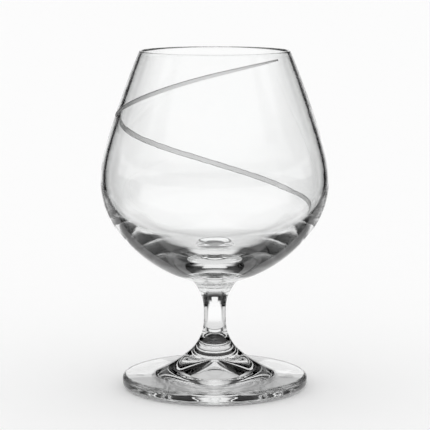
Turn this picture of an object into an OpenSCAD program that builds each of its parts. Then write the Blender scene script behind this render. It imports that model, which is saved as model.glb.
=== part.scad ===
// Brandy snifter: a blown bowl on a short solid stem and a round foot.
// Millimetres. The glass stands on z = 0, its axis is the z axis, and the front is towards -y.

/* [Overall size] */
// Height of the glass from the table to the top of the rim
glass_height = 142; // [60:0.1:300]
// Outer diameter of the bowl at its widest place
bowl_diameter = 96; // [40:0.1:200]
// Diameter of the mouth, measured through the middle of the rounded rim
mouth_diameter = 62; // [25:0.1:150]
// Outer diameter of the foot
foot_diameter = 78.4; // [30:0.1:160]

/* [Bowl] */
// Height above the table of the bowl's widest place
bowl_widest_height = 87.4; // [40:0.1:200]
// Radius of the outer wall just above the widest place
shoulder_radius = 48.7; // [20:0.1:120]
// Angle through which that arc turns before the long upper wall begins
shoulder_angle = 16; // [5:0.5:40]
// Radius of the outer wall just below the widest place
belly_radius = 34.4; // [15:0.1:80]
// Angle through which that arc turns before the bottom begins
belly_angle = 37; // [15:0.5:60]
// Radius of the outside of the bottom
bottom_radius = 60.8; // [40:0.1:150]
// Thickness of the wall at the rim
rim_wall = 1.35; // [0.8:0.05:4]
// Angle by which the wall leans inward at the rim
rim_lean = 23.5; // [0:0.5:45]
// Thickness of the wall at the widest place
belly_wall = 2.1; // [0.8:0.05:6]
// Radius of the inside just below the widest place
inner_belly_radius = 24.8; // [10:0.1:60]
// Thickness of the glass between the inside of the bowl and the stem
floor_thickness = 8.2; // [2:0.1:20]

/* [Satin line] */
// Direction in which the ground line starts, counted from the front towards the right
line_start_angle = 52; // [10:1:120]
// Angle that the line covers on its way round the bowl
line_sweep = 330; // [310:1:350]
// Height of the line at its start
line_start_height = 139.3; // [80:0.1:140]
// Height of the line at the front of the bowl
line_front_height = 134.2; // [75:0.1:140]
// Height of the line at the left side of the bowl
line_left_height = 114.1; // [65:0.1:140]
// Height of the line at the back of the bowl
line_back_height = 89.2; // [60:0.1:140]
// Height of the line at its end
line_end_height = 69.3; // [55:0.1:140]
// Greatest width of the line
line_width = 2.4; // [0.8:0.1:6]
// Depth to which the line is ground
line_depth = 0.25; // [0.1:0.01:0.6]
// Share of the line over which it grows to its full width
line_grow_share = 0.4; // [0.05:0.01:0.6]
// Share of the line over which it runs out at its end
line_fade_share = 0.08; // [0.02:0.01:0.3]
// Share of the greatest width and depth that the line has at its two ends
line_least_share = 0.3; // [0.1:0.05:1]
// Share of the width that is the flat bottom of the cut
line_flat_share = 0.6; // [0.1:0.05:0.9]

/* [Stem] */
// Diameter of the stem where it joins the bowl
stem_top_diameter = 19.4; // [8:0.1:40]
// Diameter of the stem at its thinnest
stem_diameter = 9.4; // [4:0.1:30]
// Radius of the flare under the bowl
upper_flare_radius = 18.6; // [6:0.1:40]
// Height above the table at which the lower flare begins
lower_flare_height = 27.9; // [10:0.1:80]
// Radius of the lower flare
lower_flare_radius = 17.8; // [6:0.1:40]
// Angle through which that arc turns
lower_flare_angle = 49; // [20:0.5:70]
// Angle of the lower flare at which the stem is joined to the foot
stem_joint_angle = 36; // [10:0.5:60]

/* [Foot] */
// Radius of the hollow cone of the foot, below the flare
cone_radius = 54.6; // [20:0.1:150]
// Angle from upright at the outer end of the cone
cone_end_angle = 67.3; // [50:0.1:80]
// Height of the foot's upper edge, before the rounding
edge_height = 4.95; // [2:0.05:12]
// Radius of the rounding on the upper corner of the edge
edge_top_rounding = 1.7; // [0.2:0.05:3]
// Radius of the rounding on the lower corner of the edge
edge_foot_rounding = 1.7; // [0.2:0.05:3]
// Diameter of the shallow hollow under the foot
hollow_diameter = 68; // [20:0.5:150]
// Slope of the shallow hollow
hollow_slope = 0.8; // [0:0.1:4]
// Height above the table of the top of the dimple in the middle of the hollow
dimple_height = 7; // [2:0.1:14]
// Radius of the dimple's rounded top
dimple_top_radius = 4.2; // [2:0.1:15]
// Slope of the dimple's side
dimple_slope = 29.5; // [15:0.5:55]
// Radius of the curve from the dimple's side into the hollow
dimple_foot_radius = 6.1; // [3:0.1:20]

/* [Hidden] */
$fn = 180;

bowl_r = bowl_diameter / 2;
mouth_r = mouth_diameter / 2;
foot_r = foot_diameter / 2;
stem_r = stem_diameter / 2;
stem_top_r = stem_top_diameter / 2;
hollow_r = hollow_diameter / 2;
// How far a drawn tool reaches past the glass that it trims
reach = glass_height / 20;
// How far two drawn shapes lap over each other where they are joined
lap = glass_height / 300;
// Facets of the arcs that are drawn as slices, which are large circles
arc_facets = 720;

function along(angle, radius) = [radius * cos(angle), radius * sin(angle)];
function arc_end(centre, radius, angle) = centre + along(angle, radius);
// Radius of the arc that leaves a point square to a direction and passes through a second point
function arc_through(from, inward, to) = (to - from) * (to - from) / (2 * inward * (to - from));

// Outside of the bowl
widest = [bowl_r, bowl_widest_height];
shoulder_centre = widest - [shoulder_radius, 0];
shoulder_end = arc_end(shoulder_centre, shoulder_radius, shoulder_angle);
belly_centre = widest - [belly_radius, 0];
belly_end = arc_end(belly_centre, belly_radius, -belly_angle);
bottom_centre = arc_end(belly_end, bottom_radius, 180 - belly_angle);
bottom_drop = sqrt(bottom_radius * bottom_radius - pow(stem_top_r - bottom_centre[0], 2));
seam_height = bottom_centre[1] - bottom_drop;
seam = [stem_top_r, seam_height];
rim_centre = [mouth_r, glass_height - rim_wall / 2];
rim_outer = arc_end(rim_centre, rim_wall / 2, rim_lean);
rim_inner = arc_end(rim_centre, -rim_wall / 2, rim_lean);
wall_radius = arc_through(shoulder_end, -along(shoulder_angle, 1), rim_outer);
wall_centre = shoulder_end - along(shoulder_angle, wall_radius);

// Inside of the bowl
inner_widest = widest - [belly_wall, 0];
inner_shoulder_radius = shoulder_radius - belly_wall;
inner_shoulder_end = arc_end(shoulder_centre, inner_shoulder_radius, shoulder_angle);
inner_wall_radius = arc_through(inner_shoulder_end, -along(shoulder_angle, 1), rim_inner);
floor_height = seam_height + floor_thickness;
inner_depth = bowl_widest_height - floor_height;
inner_reach = inner_widest[0] - inner_belly_radius;
inner_square = inner_reach * inner_reach + inner_depth * inner_depth;
floor_radius = (inner_square - pow(inner_belly_radius, 2)) / (2 * (inner_depth - inner_belly_radius));
floor_centre = [0, floor_height + floor_radius];
inner_belly_centre = [inner_reach, bowl_widest_height];
inner_turn = atan2(floor_centre[1] - inner_belly_centre[1], inner_reach);
inner_belly_end = arc_end(inner_belly_centre, inner_belly_radius, -inner_turn);

// The ground line: its height, its width and its place on the outer wall along the way
line_steps = 90;
// It runs smoothly through its five heights: at the start, the front, the left, the back and the end
line_heights = [
    line_start_height,
    line_front_height,
    line_left_height,
    line_back_height,
    line_end_height
];
line_ways = [line_start_angle, 0, -90, -180, line_start_angle - line_sweep];
line_parts = [for (i = [0:3]) line_ways[i + 1] - line_ways[i]];
line_slopes = [for (i = [0:3]) (line_heights[i + 1] - line_heights[i]) / line_parts[i]];
line_mid_falls = [
    for (i = [0:2])
        (line_slopes[i] * line_parts[i + 1] + line_slopes[i + 1] * line_parts[i])
        / (line_parts[i] + line_parts[i + 1])
];
line_falls = concat(
    2 * line_slopes[0] - line_mid_falls[0],
    line_mid_falls,
    2 * line_slopes[3] - line_mid_falls[2]
);
function line_way(u) = line_start_angle - line_sweep * u;
function line_part(way) = way > line_ways[1] ? 0 : way > line_ways[2] ? 1 : way > line_ways[3] ? 2 : 3;
function smooth_height(i, v) =
    (2 * pow(v, 3) - 3 * pow(v, 2) + 1) * line_heights[i]
    + (pow(v, 3) - 2 * pow(v, 2) + v) * line_parts[i] * line_falls[i]
    + (3 * pow(v, 2) - 2 * pow(v, 3)) * line_heights[i + 1]
    + (pow(v, 3) - pow(v, 2)) * line_parts[i] * line_falls[i + 1];
function line_height(u) =
    let (i = line_part(line_way(u)))
        smooth_height(i, (line_way(u) - line_ways[i]) / line_parts[i]);
function line_strength(u) =
    line_least_share
    + (1 - line_least_share)
    * sin(90 * min(1, u / line_grow_share)) * sin(90 * min(1, (1 - u) / line_fade_share));
// The cutter stands clear of the glass at both ends of the line
line_clear = 0.4 * line_depth;
function line_bottom(u) = u <= 0 || u >= 1 ? line_clear : -line_depth * line_strength(u);
function wall_arc(height) =
    height > shoulder_end[1] ? [wall_centre, wall_radius]
    : height > bowl_widest_height ? [shoulder_centre, shoulder_radius]
    : height > belly_end[1] ? [belly_centre, belly_radius]
    : [bottom_centre, bottom_radius];
function wall_lean(height) = asin((height - wall_arc(height)[0][1]) / wall_arc(height)[1]);
function wall_point(height) = arc_end(wall_arc(height)[0], wall_arc(height)[1], wall_lean(height));
function turned(point, angle) = [point[0] * sin(angle), -point[0] * cos(angle), point[1]];
function line_corner(u, out, side) =
    wall_point(line_height(u))
    + along(wall_lean(line_height(u)), out)
    + along(wall_lean(line_height(u)) + 90, side);
function line_ring(u) = [
    for (corner = [[1, -1], [1, 1], [-1, 1], [-1, -1]])
        turned(
            line_corner(
                u,
                corner[0] > 0 ? line_depth : line_bottom(u),
                corner[1] * line_width / 2 * line_strength(u) * (1 + corner[0] * (1 - line_flat_share))
            ),
            line_way(u)
        )
];

// Stem and foot
upper_flare_turn = acos(1 - (stem_top_r - stem_r) / upper_flare_radius);
waist_height = seam_height - upper_flare_radius * sin(upper_flare_turn);
lower_flare_centre = [stem_r + lower_flare_radius, lower_flare_height];
stem_joint = arc_end(lower_flare_centre, -lower_flare_radius, stem_joint_angle);
flare_end = arc_end(lower_flare_centre, -lower_flare_radius, lower_flare_angle);
cone_centre = arc_end(flare_end, cone_radius, lower_flare_angle);
cone_end = arc_end(cone_centre, -cone_radius, cone_end_angle);
edge_top_centre = [foot_r - edge_top_rounding, edge_height - edge_top_rounding];
edge_foot_centre = [foot_r - edge_foot_rounding, edge_foot_rounding];

// Underside of the foot
dimple_top_centre = [0, dimple_height - dimple_top_radius];
dimple_top_end = arc_end(dimple_top_centre, dimple_top_radius, 90 - dimple_slope);
steep = tan(dimple_slope);
shallow = tan(hollow_slope);
dimple_r = (dimple_top_end[1] + steep * dimple_top_end[0] - shallow * hollow_r) / (steep - shallow);
dimple_corner = [dimple_r, shallow * (hollow_r - dimple_r)];
dimple_cut = dimple_foot_radius * tan((dimple_slope - hollow_slope) / 2);
dimple_side_end = arc_end(dimple_corner, dimple_cut, 180 - dimple_slope);
hollow_start = arc_end(dimple_corner, dimple_cut, -hollow_slope);

// The slice between a chord and its arc. It lies to the right of the way from one point to the other.
module arc_slice(from, to, radius) {
    chord = to - from;
    half = norm(chord) / 2;
    rise = sqrt(radius * radius - half * half);
    translate((from + to) / 2)
    rotate(atan2(chord[1], chord[0]))
    intersection() {
        translate([0, rise])
        circle(r = radius, $fn = arc_facets);
        translate([-half, rise - radius - reach])
        square([2 * half, radius - rise + reach + lap]);
    }
}

module bowl_outside() {
    polygon([
        [0, seam_height],
        seam,
        belly_end,
        widest,
        shoulder_end,
        rim_outer,
        arc_end(rim_outer, -rim_outer[0] / cos(rim_lean), rim_lean)
    ]);
    arc_slice(seam, belly_end, bottom_radius);
    arc_slice(belly_end, widest, belly_radius);
    arc_slice(widest, shoulder_end, shoulder_radius);
    arc_slice(shoulder_end, rim_outer, wall_radius);
}

module bowl_inside() {
    polygon([
        [0, floor_height],
        inner_belly_end,
        inner_widest,
        inner_shoulder_end,
        rim_inner,
        [rim_inner[0], glass_height + reach],
        [0, glass_height + reach]
    ]);
    arc_slice([0, floor_height], inner_belly_end, floor_radius);
    arc_slice(inner_belly_end, inner_widest, inner_belly_radius);
    arc_slice(inner_widest, inner_shoulder_end, inner_shoulder_radius);
    arc_slice(inner_shoulder_end, rim_inner, inner_wall_radius);
}

module bowl_section() {
    difference() {
        bowl_outside();
        bowl_inside();
    }
    translate(rim_centre)
    circle(r = rim_wall / 2);
}

// The grinding wheel's path round the outer wall, as one long curved bar
module line_cutter() {
    points = [for (step = [0:line_steps]) each line_ring(step / line_steps)];
    walls = [
        for (step = [0:line_steps - 1], side = [0:3])
            let (a = 4 * step + side, b = 4 * step + (side + 1) % 4)
                each [[a, b + 4, b], [a, a + 4, b + 4]]
    ];
    last = 4 * line_steps;
    ends = [[0, 1, 2], [0, 2, 3], [last + 2, last + 1, last], [last + 3, last + 2, last]];
    polyhedron(points = points, faces = concat(walls, ends), convexity = 4);
}

module bowl() {
    color([0.93, 0.95, 0.95, 0.4])
    difference() {
        rotate_extrude()
        bowl_section();
        line_cutter();
    }
}

module stem() {
    color([0.93, 0.95, 0.95, 0.4])
    rotate_extrude()
    difference() {
        polygon([
            [0, stem_joint[1]],
            stem_joint,
            [stem_r, lower_flare_height],
            [stem_r, waist_height],
            seam,
            [0, seam_height]
        ]);
        arc_slice([stem_r, lower_flare_height], stem_joint, lower_flare_radius);
        arc_slice(seam, [stem_r, waist_height], upper_flare_radius);
    }
}

module hollow_section() {
    difference() {
        polygon([
            [0, -lap],
            [hollow_r, -lap],
            [hollow_r, 0],
            hollow_start,
            dimple_side_end,
            dimple_top_end,
            dimple_top_centre
        ]);
        arc_slice(dimple_side_end, hollow_start, dimple_foot_radius);
    }
    translate(dimple_top_centre)
    intersection() {
        circle(r = dimple_top_radius);
        square(dimple_top_radius + lap);
    }
}

module foot() {
    color([0.93, 0.95, 0.95, 0.4])
    rotate_extrude()
    difference() {
        union() {
            polygon([
                [0, 0],
                [edge_foot_centre[0], 0],
                [foot_r, edge_foot_centre[1]],
                [foot_r, edge_top_centre[1]],
                [edge_top_centre[0], edge_height],
                cone_end,
                flare_end,
                stem_joint,
                [0, stem_joint[1]]
            ]);
            translate(edge_foot_centre)
            circle(r = edge_foot_rounding);
            translate(edge_top_centre)
            circle(r = edge_top_rounding);
        }
        arc_slice(stem_joint, flare_end, lower_flare_radius);
        arc_slice(flare_end, cone_end, cone_radius);
        hollow_section();
    }
}

bowl();
stem();
foot();
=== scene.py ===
import math
import bmesh
import bpy
from mathutils import Matrix, Vector


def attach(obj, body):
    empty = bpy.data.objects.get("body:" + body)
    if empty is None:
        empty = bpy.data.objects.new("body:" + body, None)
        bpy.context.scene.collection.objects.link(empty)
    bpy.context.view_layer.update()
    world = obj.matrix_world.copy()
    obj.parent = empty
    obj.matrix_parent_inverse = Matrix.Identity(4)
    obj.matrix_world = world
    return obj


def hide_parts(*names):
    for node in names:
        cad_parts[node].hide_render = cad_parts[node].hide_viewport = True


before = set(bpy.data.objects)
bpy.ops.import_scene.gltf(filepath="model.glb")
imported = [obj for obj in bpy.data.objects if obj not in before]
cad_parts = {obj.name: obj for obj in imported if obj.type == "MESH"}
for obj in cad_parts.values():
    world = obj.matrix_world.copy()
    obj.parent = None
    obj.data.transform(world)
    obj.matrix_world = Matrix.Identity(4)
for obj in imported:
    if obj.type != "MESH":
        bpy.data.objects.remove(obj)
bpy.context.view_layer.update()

MM = 0.001

# The glass, in millimetres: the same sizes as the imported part
GLASS_HEIGHT = 142.0
BOWL_R = 48.0
WIDEST_Z = 87.4
SHOULDER_R = 48.7
SHOULDER_TURN = 16.0
BELLY_R = 34.4
BELLY_TURN = 37.0
BOTTOM_R = 60.8
MOUTH_R = 31.0
RIM_WALL = 1.35
RIM_LEAN = 23.5
BELLY_WALL = 2.1
INNER_BELLY_R = 24.8
FLOOR_THICKNESS = 8.2
STEM_TOP_R = 9.7
STEM_R = 4.7
UPPER_FLARE_R = 18.6
LOWER_FLARE_Z = 27.9
LOWER_FLARE_R = 17.8
LOWER_FLARE_TURN = 49.0
JOINT_TURN = 36.0
CONE_R = 54.6
CONE_TURN = 67.3
FOOT_R = 39.2
EDGE_Z = 4.95
EDGE_TOP_R = 1.7
EDGE_FOOT_R = 1.7
HOLLOW_R = 34.0
DIMPLE_TOP = 7.0
DIMPLE_TOP_R = 4.2
DIMPLE_SLOPE = 29.5
HOLLOW_SLOPE = 0.8
DIMPLE_FOOT_R = 6.1

# The satin line
LINE_START = 52.0
LINE_SWEEP = 330.0
LINE_HEIGHTS = (139.3, 134.2, 114.1, 89.2, 69.3)
LINE_WIDTH = 2.4
LINE_DEPTH = 0.25
LINE_BEVEL = 0.3
LINE_GROW = 0.4
LINE_FADE = 0.08
LINE_LEAST = 0.3
LINE_CLEAR = 5.0
LINE_MARK = 1
SEAM_MARK = 2

# How finely the surfaces are drawn
ROUND = 256
STEM_ROUND = 160
SECTORS = 16
ROW = 1.2
RIM_ROW = 0.16
EDGE_ROW = 0.2
STEM_ROW = 0.5
CONE_ROW = 0.6
UNDER_ROW = 1.0
WELD = 2e-6


# Profiles: points in (distance from the axis, height), in millimetres

def along(angle, length):
    a = math.radians(angle)
    return Vector((math.cos(a), math.sin(a))) * length


def arc(centre, radius, first, last, row=ROW):
    steps = max(3, math.ceil(abs(math.radians(last - first)) * abs(radius) / row))
    return [centre + along(first + (last - first) * i / steps, radius) for i in range(steps + 1)]


def straight(start, end, row=ROW):
    steps = max(1, math.ceil((end - start).length / row))
    return [start.lerp(end, i / steps) for i in range(steps + 1)]


def joined(*runs):
    out = []
    for run in runs:
        for point in run:
            if not out or (point - out[-1]).length > 1e-4:
                out.append(point)
    return out


def angle_of(v):
    return math.degrees(math.atan2(v.y, v.x))


def through(start, inward, end):
    way = end - start
    return way.dot(way) / (2 * inward.dot(way))


widest = Vector((BOWL_R, WIDEST_Z))
shoulder_centre = widest - Vector((SHOULDER_R, 0))
shoulder_end = shoulder_centre + along(SHOULDER_TURN, SHOULDER_R)
belly_centre = widest - Vector((BELLY_R, 0))
belly_end = belly_centre + along(-BELLY_TURN, BELLY_R)
bottom_centre = belly_end + along(180 - BELLY_TURN, BOTTOM_R)
seam_z = bottom_centre.y - math.sqrt(BOTTOM_R ** 2 - (STEM_TOP_R - bottom_centre.x) ** 2)
seam = Vector((STEM_TOP_R, seam_z))
rim_centre = Vector((MOUTH_R, GLASS_HEIGHT - RIM_WALL / 2))
rim_outer = rim_centre + along(RIM_LEAN, RIM_WALL / 2)
rim_inner = rim_centre - along(RIM_LEAN, RIM_WALL / 2)
wall_radius = through(shoulder_end, -along(SHOULDER_TURN, 1), rim_outer)
wall_centre = shoulder_end - along(SHOULDER_TURN, wall_radius)
inner_shoulder_r = SHOULDER_R - BELLY_WALL
inner_shoulder_end = shoulder_centre + along(SHOULDER_TURN, inner_shoulder_r)
inner_wall_radius = through(inner_shoulder_end, -along(SHOULDER_TURN, 1), rim_inner)
inner_wall_centre = inner_shoulder_end - along(SHOULDER_TURN, inner_wall_radius)
floor_z = seam_z + FLOOR_THICKNESS
inner_depth = WIDEST_Z - floor_z
inner_reach = BOWL_R - BELLY_WALL - INNER_BELLY_R
floor_r = (inner_reach ** 2 + inner_depth ** 2 - INNER_BELLY_R ** 2) / (2 * (inner_depth - INNER_BELLY_R))
floor_centre = Vector((0, floor_z + floor_r))
inner_belly_centre = Vector((inner_reach, WIDEST_Z))
inner_turn = math.degrees(math.atan2(floor_centre.y - inner_belly_centre.y, inner_reach))

# The line's turns at its heights, from the front to the right, and its fall per degree there
LINE_TURNS = (LINE_START, 0.0, -90.0, -180.0, LINE_START - LINE_SWEEP)
line_steps = [b - a for a, b in zip(LINE_TURNS, LINE_TURNS[1:])]
line_slopes = [(b - a) / step for a, b, step in zip(LINE_HEIGHTS, LINE_HEIGHTS[1:], line_steps)]
line_falls = [
    (line_slopes[i] * line_steps[i + 1] + line_slopes[i + 1] * line_steps[i])
    / (line_steps[i] + line_steps[i + 1])
    for i in range(3)
]
line_falls = [2 * line_slopes[0] - line_falls[0], *line_falls, 2 * line_slopes[3] - line_falls[2]]


def bowl_outside():
    return joined(
        arc(bottom_centre, BOTTOM_R, angle_of(seam - bottom_centre), -BELLY_TURN),
        arc(belly_centre, BELLY_R, -BELLY_TURN, 0),
        arc(shoulder_centre, SHOULDER_R, 0, SHOULDER_TURN),
        arc(wall_centre, wall_radius, SHOULDER_TURN, angle_of(rim_outer - wall_centre)),
    )


def bowl_rim():
    return arc(rim_centre, RIM_WALL / 2, RIM_LEAN, RIM_LEAN + 180, row=RIM_ROW)


def bowl_inside():
    return joined(
        arc(inner_wall_centre, inner_wall_radius, angle_of(rim_inner - inner_wall_centre), SHOULDER_TURN),
        arc(shoulder_centre, inner_shoulder_r, SHOULDER_TURN, 0),
        arc(inner_belly_centre, INNER_BELLY_R, 0, -inner_turn),
        arc(floor_centre, floor_r, -inner_turn, -90),
    )


upper_turn = math.degrees(math.acos(1 - (STEM_TOP_R - STEM_R) / UPPER_FLARE_R))
waist_z = seam_z - UPPER_FLARE_R * math.sin(math.radians(upper_turn))
upper_centre = Vector((STEM_R + UPPER_FLARE_R, waist_z))
lower_centre = Vector((STEM_R + LOWER_FLARE_R, LOWER_FLARE_Z))
joint = lower_centre + along(180 + JOINT_TURN, LOWER_FLARE_R)
flare_end = lower_centre + along(180 + LOWER_FLARE_TURN, LOWER_FLARE_R)
cone_centre = flare_end + along(LOWER_FLARE_TURN, CONE_R)
cone_end = cone_centre + along(180 + CONE_TURN, CONE_R)
top_x = FOOT_R - EDGE_TOP_R
foot_x = FOOT_R - EDGE_FOOT_R


def stem_side():
    return joined(
        arc(lower_centre, LOWER_FLARE_R, 180 + JOINT_TURN, 180, row=STEM_ROW),
        straight(Vector((STEM_R, LOWER_FLARE_Z)), Vector((STEM_R, waist_z)), row=STEM_ROW),
        arc(upper_centre, UPPER_FLARE_R, 180, 180 - upper_turn, row=STEM_ROW),
    )


def hollow_side():
    """The underside's hollow, from the axis outward: a dome, a cone, a fillet and a shallow skirt."""
    dome_centre = Vector((0, DIMPLE_TOP - DIMPLE_TOP_R))
    dome_end = dome_centre + along(90 - DIMPLE_SLOPE, DIMPLE_TOP_R)
    steep, shallow = math.tan(math.radians(DIMPLE_SLOPE)), math.tan(math.radians(HOLLOW_SLOPE))
    corner_x = (dome_end.y + steep * dome_end.x - shallow * HOLLOW_R) / (steep - shallow)
    corner = Vector((corner_x, shallow * (HOLLOW_R - corner_x)))
    cut = DIMPLE_FOOT_R * math.tan(math.radians((DIMPLE_SLOPE - HOLLOW_SLOPE) / 2))
    cone_foot = corner + along(180 - DIMPLE_SLOPE, cut)
    fillet_centre = cone_foot + along(90 - DIMPLE_SLOPE, DIMPLE_FOOT_R)
    skirt_top = corner + along(-HOLLOW_SLOPE, cut)
    return joined(
        arc(dome_centre, DIMPLE_TOP_R, 90, 90 - DIMPLE_SLOPE, row=STEM_ROW),
        straight(dome_end, cone_foot, row=STEM_ROW),
        arc(fillet_centre, DIMPLE_FOOT_R, 270 - DIMPLE_SLOPE, 270 - HOLLOW_SLOPE, row=STEM_ROW),
        straight(skirt_top, Vector((HOLLOW_R, 0)), row=UNDER_ROW),
    )


def foot_side():
    return joined(
        hollow_side(),
        straight(Vector((HOLLOW_R, 0)), Vector((foot_x, 0)), row=UNDER_ROW),
        arc(Vector((foot_x, EDGE_FOOT_R)), EDGE_FOOT_R, -90, 0, row=EDGE_ROW),
        straight(Vector((FOOT_R, EDGE_FOOT_R)), Vector((FOOT_R, EDGE_Z - EDGE_TOP_R)), row=STEM_ROW),
        arc(Vector((top_x, EDGE_Z - EDGE_TOP_R)), EDGE_TOP_R, 0, 90, row=EDGE_ROW),
        straight(Vector((top_x, EDGE_Z)), cone_end, row=CONE_ROW),
        arc(cone_centre, CONE_R, 180 + CONE_TURN, 180 + LOWER_FLARE_TURN, row=CONE_ROW),
        arc(lower_centre, LOWER_FLARE_R, 180 + LOWER_FLARE_TURN, 180 + JOINT_TURN, row=STEM_ROW),
    )


# Turning a profile into a mesh

def turned(bm, points, count, first, steps):
    """Spins a profile round the axis: from one of count meridians, over a number of steps."""
    place = Matrix.Rotation(math.tau * first / count, 3, "Z")
    verts = [bm.verts.new(place @ Vector((0, -p.x * MM, p.y * MM))) for p in points]
    edges = [bm.edges.new(pair) for pair in zip(verts, verts[1:])]
    bmesh.ops.spin(
        bm, geom=verts + edges, cent=(0, 0, 0), axis=(0, 0, 1), dvec=(0, 0, 0),
        angle=math.tau * steps / count, steps=steps, use_merge=False, use_duplicate=False,
    )


def turned_round(bm, points, count):
    """Spins one sector of a profile and sets its copies side by side all round."""
    sector = bmesh.new()
    turned(sector, points, count, 0, count // SECTORS)
    mesh = bpy.data.meshes.new("sector")
    sector.to_mesh(mesh)
    sector.free()
    for _ in range(SECTORS):
        bm.from_mesh(mesh)
        mesh.transform(Matrix.Rotation(math.tau / SECTORS, 4, "Z"))
    bpy.data.meshes.remove(mesh)
    bmesh.ops.remove_doubles(bm, verts=bm.verts, dist=WELD)


def capped(bm, height):
    """Closes the open ring at a height with one flat face, and returns it."""
    ring = [e for e in bm.edges if e.is_boundary and all(abs(v.co.z - height * MM) < 1e-6 for v in e.verts)]
    return bmesh.ops.edgeloop_fill(bm, edges=ring)["faces"]


def made(name, bm, materials):
    bmesh.ops.remove_doubles(bm, verts=bm.verts, dist=WELD)
    bmesh.ops.recalc_face_normals(bm, faces=bm.faces)
    for face in bm.faces:
        face.smooth = True
    mesh = bpy.data.meshes.new(name)
    bm.to_mesh(mesh)
    bm.free()
    for material in materials:
        mesh.materials.append(material)
    obj = bpy.data.objects.new(name, mesh)
    bpy.context.scene.collection.objects.link(obj)
    return obj


def sharpen(bm, degrees):
    bm.normal_update()
    for edge in bm.edges:
        if len(edge.link_faces) == 2 and edge.calc_face_angle(0) > math.radians(degrees):
            edge.smooth = False


# The satin line: where it runs on the outer wall

def line_height(u):
    """The height of the line's middle: smooth through its heights at the start, front, left, back and end."""
    turn = LINE_START - LINE_SWEEP * u
    k = sum(turn < t for t in LINE_TURNS[1:-1])
    step = LINE_TURNS[k + 1] - LINE_TURNS[k]
    v = (turn - LINE_TURNS[k]) / step
    return (
        (2 * v ** 3 - 3 * v ** 2 + 1) * LINE_HEIGHTS[k]
        + (v ** 3 - 2 * v ** 2 + v) * step * line_falls[k]
        + (3 * v ** 2 - 2 * v ** 3) * LINE_HEIGHTS[k + 1]
        + (v ** 3 - v ** 2) * step * line_falls[k + 1]
    )


def line_strength(u):
    grow = math.sin(math.pi / 2 * min(1, u / LINE_GROW))
    fade = math.sin(math.pi / 2 * min(1, (1 - u) / LINE_FADE))
    return LINE_LEAST + (1 - LINE_LEAST) * grow * fade


def wall_place(z):
    """The point of the outer wall at a height, and the way up along the wall there."""
    if z > shoulder_end.y:
        centre, radius = wall_centre, wall_radius
    elif z > WIDEST_Z:
        centre, radius = shoulder_centre, SHOULDER_R
    elif z > belly_end.y:
        centre, radius = belly_centre, BELLY_R
    else:
        centre, radius = bottom_centre, BOTTOM_R
    lean = math.asin((z - centre.y) / radius)
    point = centre + Vector((math.cos(lean), math.sin(lean))) * radius
    return point, Vector((-math.sin(lean), math.cos(lean)))


def line_edge(u, side, turn):
    """A point on the upper (side 1) or lower (side -1) edge of the line, at a turn from the front."""
    point, up = wall_place(line_height(u))
    point = point + up * (side * LINE_WIDTH / 2 * line_strength(u))
    a = math.radians(turn)
    return Vector((point.x * math.sin(a), -point.x * math.cos(a), point.y)) * MM


def add_column(bm, points, number):
    """Adds one column of the outer wall, with the line's two edges cut into it. Marks the line's face."""
    step = 360 / ROUND
    turns = [number * step, (number + 1) * step]
    way = [min(1, max(0, (LINE_START - turn) / LINE_SWEEP)) for turn in turns]
    column = bmesh.new()
    turned(column, points, ROUND, number, 1)
    cuts = []
    for side in (-1, 1):
        start, end = (line_edge(u, side, turn) for u, turn in zip(way, turns))
        out = Vector((start.x + end.x, start.y + end.y, 0)).normalized()
        upward = out.cross(end - start).normalized()
        cuts.append((start, upward))
        bmesh.ops.bisect_plane(
            column, geom=list(column.verts) + list(column.edges) + list(column.faces),
            dist=WELD, plane_co=start, plane_no=upward,
        )
    (low, up_low), (high, up_high) = cuts
    inside = [
        f for f in column.faces
        if (f.calc_center_median() - low).dot(up_low) > 0 > (f.calc_center_median() - high).dot(up_high)
    ]
    if len(inside) > 1:
        inside = bmesh.ops.dissolve_faces(column, faces=inside, use_verts=False)["region"]
    for face in inside:
        face.material_index = LINE_MARK
    mesh = bpy.data.meshes.new("column")
    column.to_mesh(mesh)
    column.free()
    bm.from_mesh(mesh)
    bpy.data.meshes.remove(mesh)


def walled(bm, points):
    """The outer wall: columns with the line in them, and plain ones where it doesn't run."""
    step = 360 / ROUND
    first = math.floor((LINE_START - LINE_SWEEP) / step)
    last = math.floor(LINE_START / step)
    for number in range(first, last + 1):
        add_column(bm, points, number)
    turned(bm, points, ROUND, last + 1, ROUND - (last + 1 - first))


def tied(bm):
    """Joins the line's two tips to the plain columns beside them, where a cut ends on a meridian."""
    open_edges = [e for e in bm.edges if e.is_boundary]
    for vert in {v for e in open_edges for v in e.verts}:
        for edge in open_edges:
            a, b = edge.verts
            if vert in (a, b):
                continue
            share = (vert.co - a.co).dot(b.co - a.co) / (b.co - a.co).length_squared
            if 0 < share < 1 and (a.co.lerp(b.co, share) - vert.co).length < WELD:
                open_edges.append(bmesh.utils.edge_split(edge, a, share)[0])
                break
    bmesh.ops.remove_doubles(bm, verts=bm.verts, dist=WELD)


def sunk(bm):
    """Sinks the line's faces below the wall, with a slope all round."""
    band = [f for f in bm.faces if f.material_index == LINE_MARK]
    loose = [v for v in {v for f in band for v in f.verts} if len(v.link_edges) == 2]
    bmesh.ops.dissolve_verts(bm, verts=loose)
    band = [f for f in bm.faces if f.material_index == LINE_MARK]
    slopes = bmesh.ops.inset_region(
        bm, faces=band, thickness=LINE_BEVEL * MM, depth=-LINE_DEPTH * MM,
        use_boundary=True, use_even_offset=True,
    )["faces"]
    for face in slopes:
        face.material_index = LINE_MARK


# Materials

def node_material(name):
    material = bpy.data.materials.new(name)
    material.use_nodes = True
    material.node_tree.nodes.clear()
    return material, material.node_tree


def add(tree, kind, **inputs):
    node = tree.nodes.new(kind)
    for key, value in inputs.items():
        setattr(node, key, value)
    return node


GLASS_IOR = 1.52


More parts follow.
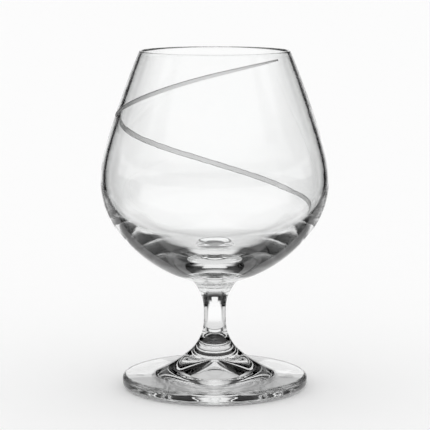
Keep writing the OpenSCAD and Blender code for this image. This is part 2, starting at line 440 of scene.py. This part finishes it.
def clear_glass():
    """Clear polished glass: faint ripples from blowing, and a breath of tint that varies."""
    material, tree = node_material("clear glass")
    output = add(tree, "ShaderNodeOutputMaterial")
    shader = add(tree, "ShaderNodeBsdfPrincipled")
    shader.inputs["Transmission Weight"].default_value = 1.0
    shader.inputs["IOR"].default_value = GLASS_IOR
    shader.inputs["Roughness"].default_value = 0.0
    place = add(tree, "ShaderNodeTexCoord")
    stretch = add(tree, "ShaderNodeMapping")
    stretch.inputs["Scale"].default_value = (1, 1, 2.2)
    ripple = add(tree, "ShaderNodeTexNoise")
    ripple.inputs["Scale"].default_value = 60
    ripple.inputs["Detail"].default_value = 2
    bump = add(tree, "ShaderNodeBump")
    bump.inputs["Strength"].default_value = 0.04
    bump.inputs["Distance"].default_value = 0.001
    tint = add(tree, "ShaderNodeValToRGB")
    tint.color_ramp.elements[0].color = (0.985, 0.992, 0.99, 1)
    tint.color_ramp.elements[1].color = (1, 1, 1, 1)
    tree.links.new(place.outputs["Object"], stretch.inputs["Vector"])
    tree.links.new(stretch.outputs["Vector"], ripple.inputs["Vector"])
    tree.links.new(ripple.outputs["Fac"], bump.inputs["Height"])
    tree.links.new(ripple.outputs["Fac"], tint.inputs["Fac"])
    tree.links.new(tint.outputs["Color"], shader.inputs["Base Color"])
    tree.links.new(bump.outputs["Normal"], shader.inputs["Normal"])
    tree.links.new(shader.outputs["BSDF"], output.inputs["Surface"])
    return material


SATIN_LOW = 0.45
SATIN_HIGH = 0.62
SATIN_CLEAR = 0.85
# The line's grey base colour is partly random grain and partly painted shade: it stands in for the dark
# surroundings the matt skin scatters
SATIN_DARK = 0.56
SATIN_PALE = 0.72


def satin_glass():
    """The ground line: the same glass with a fine matt skin."""
    material, tree = node_material("satin line")
    output = add(tree, "ShaderNodeOutputMaterial")
    shader = add(tree, "ShaderNodeBsdfPrincipled")
    shader.inputs["Transmission Weight"].default_value = SATIN_CLEAR
    shader.inputs["IOR"].default_value = GLASS_IOR
    place = add(tree, "ShaderNodeTexCoord")
    grain = add(tree, "ShaderNodeTexNoise")
    grain.inputs["Scale"].default_value = 1400
    grain.inputs["Detail"].default_value = 3
    matt = add(tree, "ShaderNodeValToRGB")
    matt.color_ramp.elements[0].color = (SATIN_LOW, SATIN_LOW, SATIN_LOW, 1)
    matt.color_ramp.elements[1].color = (SATIN_HIGH, SATIN_HIGH, SATIN_HIGH, 1)
    # Painted shade: a grey base colour, varied at random by the grain
    tone = add(tree, "ShaderNodeValToRGB")
    tone.color_ramp.elements[0].color = (SATIN_DARK, SATIN_DARK, SATIN_DARK, 1)
    tone.color_ramp.elements[1].color = (SATIN_PALE, SATIN_PALE, SATIN_PALE, 1)
    bump = add(tree, "ShaderNodeBump")
    bump.inputs["Strength"].default_value = 0.3
    bump.inputs["Distance"].default_value = 0.0002
    tree.links.new(place.outputs["Object"], grain.inputs["Vector"])
    tree.links.new(grain.outputs["Fac"], matt.inputs["Fac"])
    tree.links.new(grain.outputs["Fac"], tone.inputs["Fac"])
    tree.links.new(grain.outputs["Fac"], bump.inputs["Height"])
    tree.links.new(matt.outputs["Color"], shader.inputs["Roughness"])
    tree.links.new(tone.outputs["Color"], shader.inputs["Base Color"])
    tree.links.new(bump.outputs["Normal"], shader.inputs["Normal"])
    tree.links.new(shader.outputs["BSDF"], output.inputs["Surface"])
    return material


def seam_glass():
    """Where two pieces are fused there is no surface: light goes straight through."""
    material, tree = node_material("fused seam")
    output = add(tree, "ShaderNodeOutputMaterial")
    shader = add(tree, "ShaderNodeBsdfTransparent")
    place = add(tree, "ShaderNodeTexCoord")
    noise = add(tree, "ShaderNodeTexNoise")
    noise.inputs["Scale"].default_value = 60
    tint = add(tree, "ShaderNodeValToRGB")
    tint.color_ramp.elements[0].color = (0.998, 1, 0.999, 1)
    tint.color_ramp.elements[1].color = (1, 1, 1, 1)
    tree.links.new(place.outputs["Object"], noise.inputs["Vector"])
    tree.links.new(noise.outputs["Fac"], tint.inputs["Fac"])
    tree.links.new(tint.outputs["Color"], shader.inputs["Color"])
    tree.links.new(shader.outputs["BSDF"], output.inputs["Surface"])
    return material


PAPER_TONES = (0.984, 0.99)


def table_paper():
    """The pale paper of the table, very slightly uneven."""
    material, tree = node_material("table paper")
    output = add(tree, "ShaderNodeOutputMaterial")
    shader = add(tree, "ShaderNodeBsdfPrincipled")
    shader.inputs["Specular IOR Level"].default_value = 0.0
    shader.inputs["Roughness"].default_value = 0.9
    place = add(tree, "ShaderNodeTexCoord")
    noise = add(tree, "ShaderNodeTexNoise")
    noise.inputs["Scale"].default_value = 30
    ramp = add(tree, "ShaderNodeValToRGB")
    for stop, tone in zip(ramp.color_ramp.elements, PAPER_TONES):
        stop.color = (tone, tone, tone, 1)
    tree.links.new(place.outputs["Object"], noise.inputs["Vector"])
    tree.links.new(noise.outputs["Fac"], ramp.inputs["Fac"])
    tree.links.new(ramp.outputs["Color"], shader.inputs["Base Color"])
    tree.links.new(shader.outputs["BSDF"], output.inputs["Surface"])
    return material


glass = clear_glass()
satin = satin_glass()
fused = seam_glass()


# The three pieces of the glass

def build_bowl():
    outside = bowl_outside()
    low = [p for p in outside if p.y < LINE_HEIGHTS[-1] - LINE_CLEAR]
    wall = [low[-1]] + [p for p in outside if p.y >= LINE_HEIGHTS[-1] - LINE_CLEAR]
    bm = bmesh.new()
    turned_round(bm, low, ROUND)
    turned_round(bm, joined(bowl_rim(), bowl_inside()), ROUND)
    walled(bm, wall)
    bmesh.ops.remove_doubles(bm, verts=bm.verts, dist=WELD)
    for face in capped(bm, seam_z):
        face.material_index = SEAM_MARK
    tied(bm)
    bmesh.ops.recalc_face_normals(bm, faces=bm.faces)
    sunk(bm)
    sharpen(bm, 20)
    return made("bowl_glass", bm, (glass, satin, fused))


def build_stem():
    bm = bmesh.new()
    turned_round(bm, stem_side(), STEM_ROUND)
    caps = capped(bm, joint.y) + capped(bm, seam_z)
    for face in caps:
        face.material_index = 1
    sharpen(bm, 30)
    return made("stem_glass", bm, (glass, fused))


def build_foot():
    bm = bmesh.new()
    turned_round(bm, foot_side(), ROUND)
    for face in capped(bm, joint.y):
        face.material_index = 1
    sharpen(bm, 30)
    return made("foot_glass", bm, (glass, fused))


for piece, node in ((build_bowl(), "bowl"), (build_stem(), "stem"), (build_foot(), "foot")):
    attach(piece, "root")
    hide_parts(node)


# The camera, as the photographer stood

CAMERA_DISTANCE = 0.8026
CAMERA_HEIGHT = 0.1886
CAMERA_TILT = 8.211

lens = bpy.data.cameras.new("camera")
lens.sensor_width = 36
lens.lens = 161.07
lens.shift_x = 0.0005
lens.clip_end = 20
camera = bpy.data.objects.new("camera", lens)
camera.location = (0, -CAMERA_DISTANCE, CAMERA_HEIGHT)
camera.rotation_euler = (math.radians(90 - CAMERA_TILT), 0, 0)
bpy.context.scene.collection.objects.link(camera)
bpy.context.scene.camera = camera


# The studio: a pale table in a white room, which is what the camera and the paper see. The glass
# sees another field: soft lights behind, in front, at the sides and above, with darkness between
# them, and a second table plane that glows with painted light and painted shade, dark at both sides
# and under the foot. It gives the glass its dark and bright edges.

def math_node(tree, operation, a, b=0.0):
    node = add(tree, "ShaderNodeMath", operation=operation)
    for socket, value in zip(node.inputs, (a, b)):
        if isinstance(value, (int, float)):
            socket.default_value = value
        else:
            tree.links.new(value, socket)
    return node.outputs["Value"]


def blend(tree, value, start, end):
    """Goes smoothly from 0 at start to 1 at end."""
    node = add(tree, "ShaderNodeMapRange", interpolation_type="SMOOTHSTEP")
    tree.links.new(value, node.inputs["Value"])
    node.inputs["From Min"].default_value = min(start, end)
    node.inputs["From Max"].default_value = max(start, end)
    node.inputs["To Min"].default_value = 0.0 if start < end else 1.0
    node.inputs["To Max"].default_value = 1.0 if start < end else 0.0
    return node.outputs["Result"]


def by_turn(tree, back, start, end):
    """Blends from 0 to 1 between two turns, in degrees from straight behind the glass to either side."""
    return blend(tree, back, math.cos(math.radians(start)), math.cos(math.radians(end)))


def by_rise(tree, up, start, end):
    """Blends from 0 to 1 between two heights over the horizon, in degrees."""
    return blend(tree, up, math.sin(math.radians(start)), math.sin(math.radians(end)))


def times(tree, *factors):
    """Multiplies any number of values."""
    product = factors[0]
    for factor in factors[1:]:
        product = math_node(tree, "MULTIPLY", product, factor)
    return product


def most(tree, *values):
    """The greatest of any number of values."""
    greatest = values[0]
    for value in values[1:]:
        greatest = math_node(tree, "MAXIMUM", greatest, value)
    return greatest


def less(tree, value):
    return math_node(tree, "SUBTRACT", 1.0, value)


# How often light has turned: up to twice in one wall, four or five times in both walls of the bowl
ONCE_MOST = 2.5
BOWL_LEAST = 3.5
BOWL_MOST = 5.5


def turns_made(tree):
    return add(tree, "ShaderNodeLightPath").outputs["Ray Depth"]


def through_bowl(tree):
    """1 for light that mostly went straight through both walls of the bowl, else 0."""
    turns = turns_made(tree)
    return times(tree, math_node(tree, "GREATER_THAN", turns, BOWL_LEAST),
                 math_node(tree, "LESS_THAN", turns, BOWL_MOST))


def through_once(tree):
    """1 for light that mostly went straight through one wall of the glass, else 0."""
    return math_node(tree, "LESS_THAN", turns_made(tree), ONCE_MOST)


# The lights, in degrees: EDGE is from straight behind round to either side, the rest are heights
BACK_EDGE = (26, 18)
BACK_RISE = (14, 44)
BACK_LIGHT = 0.85
STRIP_EDGE = (11, 8)
STRIP_TOP = (13.3, 13.1)
LOW_STRIP_EDGE = (24, 14)
LOW_STRIP_TOP = (8, 2)
STRIP_FOOT = (-2, -1)
STRIP_LIGHT = 0.95
SIDE_EDGE = (54, 68)
SIDE_LIGHT = 0.9
FRONT_EDGE = (128, 150)
FRONT_LIGHT = 0.8
FRONT_LOW = 0.35
LOW_RISE = (17, 28)
TOP_RISE = (58, 66)
TOP_LIGHT = 0.45
# Light through both walls of the bowl sees the white room beyond this edge and under this height
CLEAR_EDGE = (58, 66)
CLEAR_TOP = (12, 8)

world = bpy.data.worlds.new("studio room")
bpy.context.scene.world = world
world.use_nodes = True
tree = world.node_tree
background = tree.nodes["Background"]
place = add(tree, "ShaderNodeTexCoord")
parts = add(tree, "ShaderNodeSeparateXYZ")
tree.links.new(place.outputs["Generated"], parts.inputs["Vector"])
x, y, z = (parts.outputs[axis] for axis in "XYZ")
level = math_node(tree, "SQRT", math_node(tree, "ADD", times(tree, x, x), times(tree, y, y)))
back = math_node(tree, "DIVIDE", y, math_node(tree, "MAXIMUM", level, 0.001))
above = by_rise(tree, z, *LOW_RISE)
behind = times(tree, BACK_LIGHT, by_turn(tree, back, *BACK_EDGE), by_rise(tree, z, *BACK_RISE))
in_front = times(tree, FRONT_LIGHT, most(tree, above, FRONT_LOW), by_turn(tree, back, *FRONT_EDGE))
at_side = times(tree, SIDE_LIGHT, above, by_turn(tree, back, *SIDE_EDGE))
clear_side = times(tree, through_bowl(tree), by_turn(tree, back, *CLEAR_EDGE), by_rise(tree, z, *CLEAR_TOP))
overhead = times(tree, TOP_LIGHT, by_rise(tree, z, *TOP_RISE))
high_strip = times(tree, by_turn(tree, back, *STRIP_EDGE), by_rise(tree, z, *STRIP_TOP))
low_strip = times(tree, by_turn(tree, back, *LOW_STRIP_EDGE), by_rise(tree, z, *LOW_STRIP_TOP))
strip = times(tree, STRIP_LIGHT, most(tree, high_strip, low_strip), by_rise(tree, z, *STRIP_FOOT))
light = most(tree, behind, strip, in_front, at_side, clear_side, overhead)
path = add(tree, "ShaderNodeLightPath")
strength = most(tree, path.outputs["Is Camera Ray"], path.outputs["Is Diffuse Ray"], light)
background.inputs["Color"].default_value = (1, 1, 1, 1)
tree.links.new(strength, background.inputs["Strength"])


def square(name, half, height, material):
    """A flat square of the studio, centred under the glass."""
    bm = bmesh.new()
    corners = [(x * half, y * half, height) for x, y in ((-1, -1), (1, -1), (1, 1), (-1, 1))]
    bm.faces.new([bm.verts.new(c) for c in corners])
    mesh = bpy.data.meshes.new(name)
    bm.to_mesh(mesh)
    bm.free()
    mesh.materials.append(material)
    obj = bpy.data.objects.new(name, mesh)
    bpy.context.scene.collection.objects.link(obj)
    return obj


def only_in_glass(obj):
    obj.visible_camera = False
    obj.visible_diffuse = False
    obj.visible_shadow = False


TABLE_HALF = 20.0
TABLE_Z = -0.0004
SHOWN_Z = -0.0002

# The painted light and shade of the table that the glass shows: distances from its middle in metres,
# turns in degrees from behind
# Painted shade under the foot, and a dim painted shadow behind it
SHADE_OUT = (0.044, 0.05)
DIM_BACK = (0.3, 0.7)
DIM_OUT = (0.08, 0.16)
DIM_SHARE = 0.22
# Painted shade at both sides of the sheet, and where it is left out
DARK_SIDE_START = 0.02
DARK_SIDE_EDGE = (0.26, 0.48)
DARK_SIDE_FRONT = (108, 98)
WING_TURN = (70, 80)
WING_IN = (0.11, 0.13)
WING_OUT = (0.22, 0.3)
CLEAR_OUT = (0.28, 0.38)
ONCE_BACK = (28, 36)
ONCE_FRONT = (64, 58)
ONCE_OUT = (0.36, 0.48)
ONCE_LIGHT = 0.65
# Painted light under the foot and a painted glow under its edge
UNDER_LIGHT = 0.6
GLOW_IN = (0.026, 0.027)
GLOW_OUT = (0.039, 0.038)
GLOW_BEHIND = (24, 18)
GLOW_BACK = (30, 40)
GLOW_FRONT = (105, 95)
FIBRE_SCALE = 60.0
FIBRE_SHARE = 0.03


def painted_table_field():
    """What the glass shows of the table, a glowing sheet of painted light and shade: white in front and
    behind, painted shade at both sides and under the foot.
    """
    material, tree = node_material("table in the glass, painted light and shade")
    output = add(tree, "ShaderNodeOutputMaterial")
    shader = add(tree, "ShaderNodeEmission")
    place = add(tree, "ShaderNodeTexCoord")
    parts = add(tree, "ShaderNodeSeparateXYZ")
    length = add(tree, "ShaderNodeVectorMath", operation="LENGTH")
    tree.links.new(place.outputs["Object"], parts.inputs["Vector"])
    tree.links.new(place.outputs["Object"], length.inputs[0])
    out = math_node(tree, "MAXIMUM", length.outputs["Value"], 0.0001)
    side = math_node(tree, "ABSOLUTE", parts.outputs["X"])
    back = math_node(tree, "DIVIDE", parts.outputs["Y"], out)

    # Painted shade at both sides, left out where light comes straight through the glass
    dark_side_share = math_node(tree, "DIVIDE", math_node(tree, "SUBTRACT", side, DARK_SIDE_START), out)
    painted_dark_sides = times(tree, blend(tree, dark_side_share, *DARK_SIDE_EDGE), by_turn(tree, back, *DARK_SIDE_FRONT))
    wing = times(tree, blend(tree, out, *WING_IN), less(tree, blend(tree, out, *WING_OUT)),
                 by_turn(tree, back, *WING_TURN))
    near_or_side = most(tree, less(tree, blend(tree, out, *CLEAR_OUT)), by_turn(tree, back, *CLEAR_EDGE))
    clear = most(tree, times(tree, through_bowl(tree), near_or_side),
                 times(tree, ONCE_LIGHT, through_once(tree), less(tree, blend(tree, out, *ONCE_OUT)),
                       by_turn(tree, back, *ONCE_BACK), by_turn(tree, back, *ONCE_FRONT)))
    painted_dark_sides = times(tree, painted_dark_sides, less(tree, wing), less(tree, clear))

    # Painted shade under the foot, a dim painted shadow behind it, and painted light: the glow that
    # reaches under its edge, and light under the foot for light that passed one wall
    open_table = blend(tree, out, *SHADE_OUT)
    dim = times(tree, DIM_SHARE, blend(tree, back, *DIM_BACK), less(tree, blend(tree, out, *DIM_OUT)))
    glow_turn = most(tree, by_turn(tree, back, *GLOW_BEHIND),
                     times(tree, by_turn(tree, back, *GLOW_BACK), by_turn(tree, back, *GLOW_FRONT)))
    glow = times(tree, glow_turn, blend(tree, out, *GLOW_IN), blend(tree, out, *GLOW_OUT))
    under = times(tree, UNDER_LIGHT, through_once(tree), less(tree, open_table))
    tone = most(tree, glow, under, times(tree, open_table, less(tree, painted_dark_sides), less(tree, dim)))

    grain = add(tree, "ShaderNodeTexNoise")
    grain.inputs["Scale"].default_value = FIBRE_SCALE
    tree.links.new(place.outputs["Object"], grain.inputs["Vector"])
    fibres = less(tree, times(tree, FIBRE_SHARE, grain.outputs["Fac"]))
    tree.links.new(times(tree, tone, fibres), shader.inputs["Strength"])
    tree.links.new(shader.outputs["Emission"], output.inputs["Surface"])
    return material


square("table", TABLE_HALF, TABLE_Z, table_paper())
# A glowing sheet of painted light and shade, seen only in the glass, just above the table
only_in_glass(square("table_painted_light_and_shade", TABLE_HALF, SHOWN_Z, painted_table_field()))

bpy.context.scene.view_settings.view_transform = "Standard"

# Light turns back many times inside the thick bottom, the stem and the foot
LIGHT_TURNS = 32
bounces = bpy.context.scene.cycles
bounces.max_bounces = LIGHT_TURNS
bounces.transmission_bounces = LIGHT_TURNS
bounces.glossy_bounces = LIGHT_TURNS
bounces.transparent_max_bounces = LIGHT_TURNS

bpy.context.view_layer.update()
